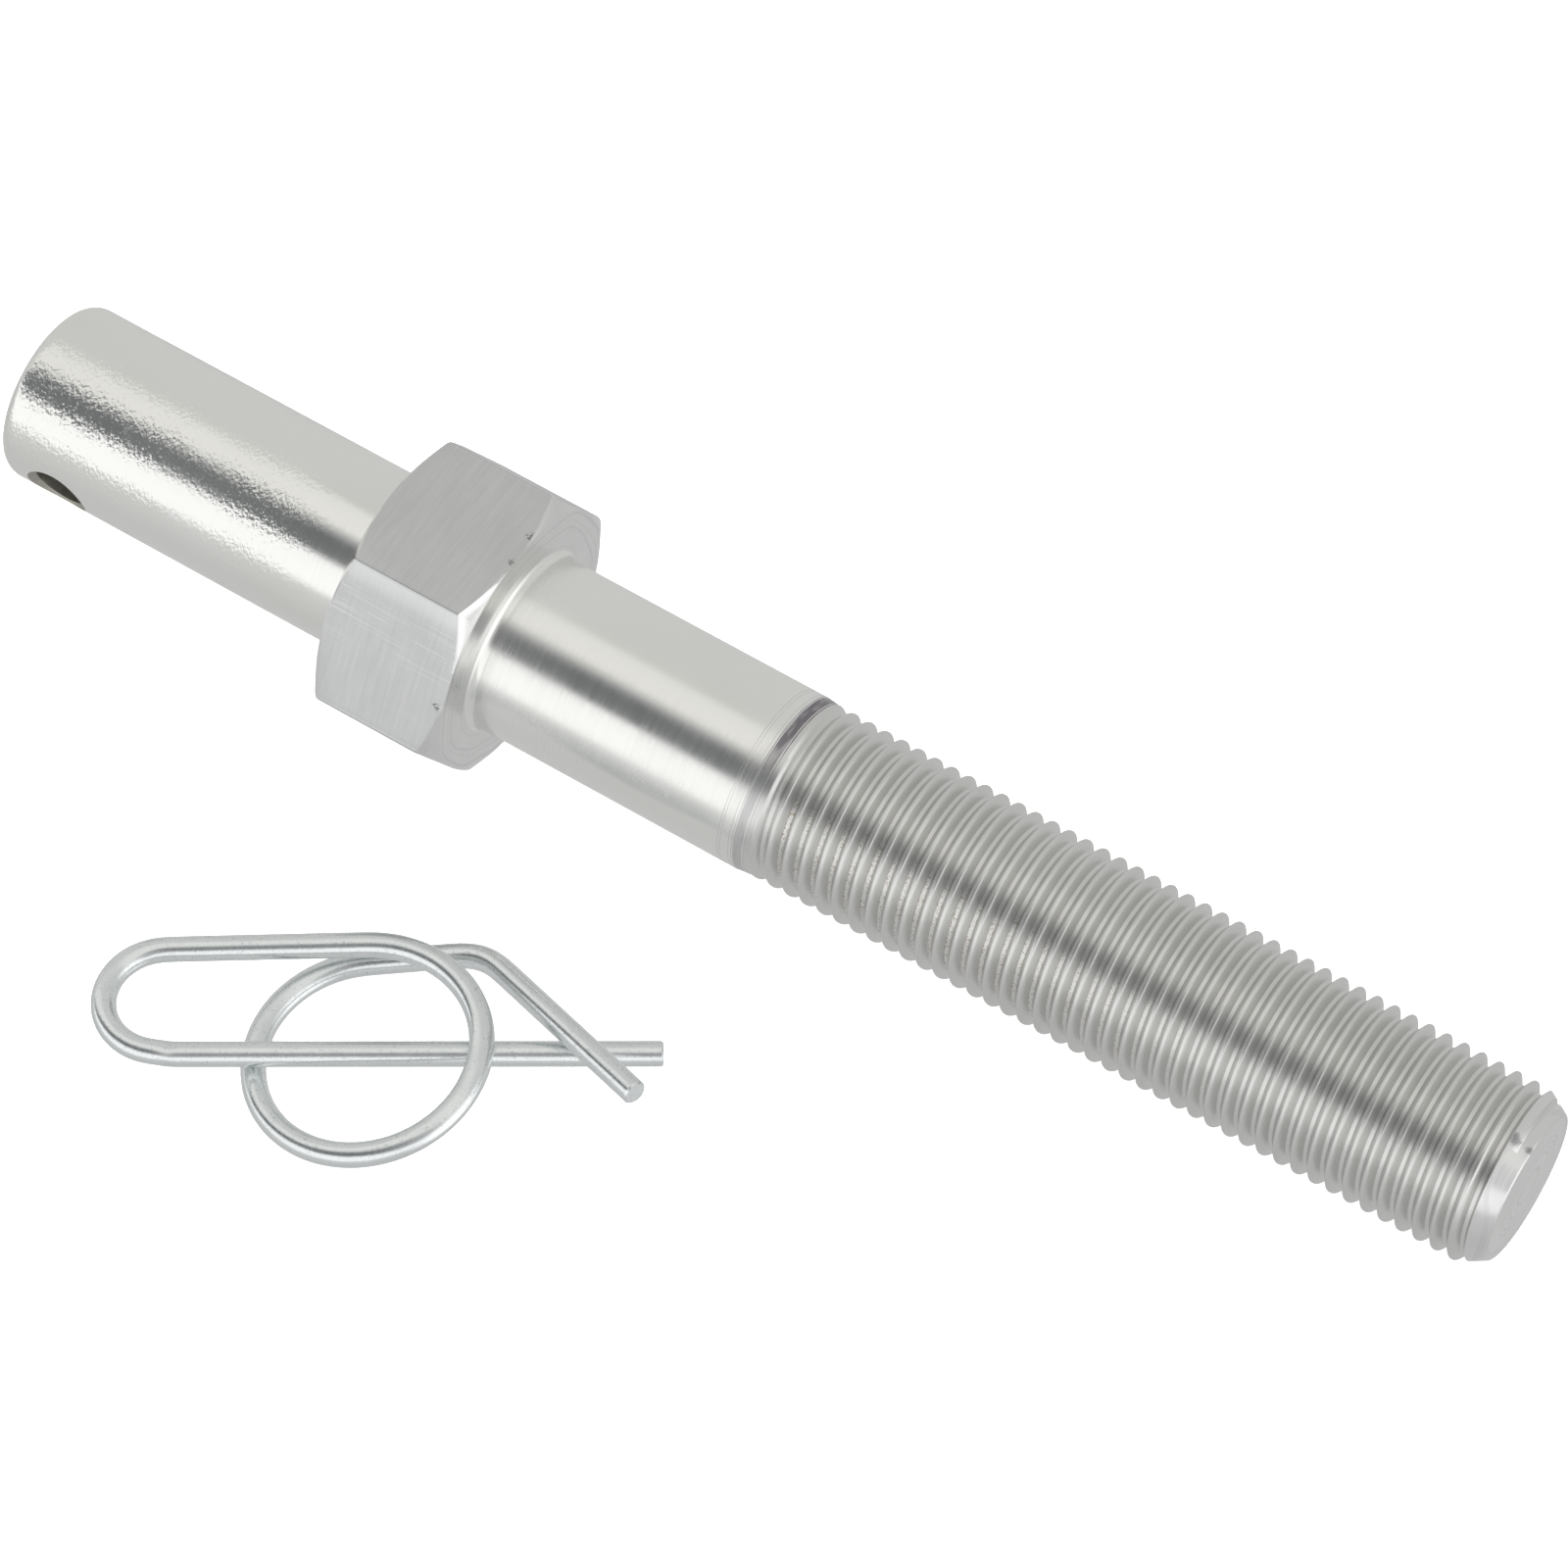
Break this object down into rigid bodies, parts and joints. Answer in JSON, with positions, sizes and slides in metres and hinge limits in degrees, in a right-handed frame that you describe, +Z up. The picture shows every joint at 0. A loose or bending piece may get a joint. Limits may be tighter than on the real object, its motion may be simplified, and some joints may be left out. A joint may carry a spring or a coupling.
{
  "type": "threaded stud with spring clip",
  "caption": "Turned stud with a cross-drilled plain pin, hexagonal collar, plain shank and long thread, lying beside its bent-wire safety clip.",
  "frame": {"origin": "centre of the footprint of both pieces, on the surface they lie on", "axes": "+X along the stud from the pin towards the thread, +Y away from the clip, +Z up from the surface"},
  "size_m": [0.2702, 0.1134, 0.046],
  "materials": {
    "machined_aluminium": "bare turned surface with fine tool marks, brushed and scratched flats",
    "zinc_plated_wire": "bright bluish zinc plating on spring steel wire"
  },
  "bodies": {
    "stud": {"threaded_stud": "machined_aluminium"},
    "clip": {"spring_clip": "zinc_plated_wire"}
  },
  "joints": [
    {"name": "clip_lift", "type": "slide", "parent": "stud", "child": "clip", "axis": [0, 0, 1], "range_m": [0, 0.06]}
  ]
}
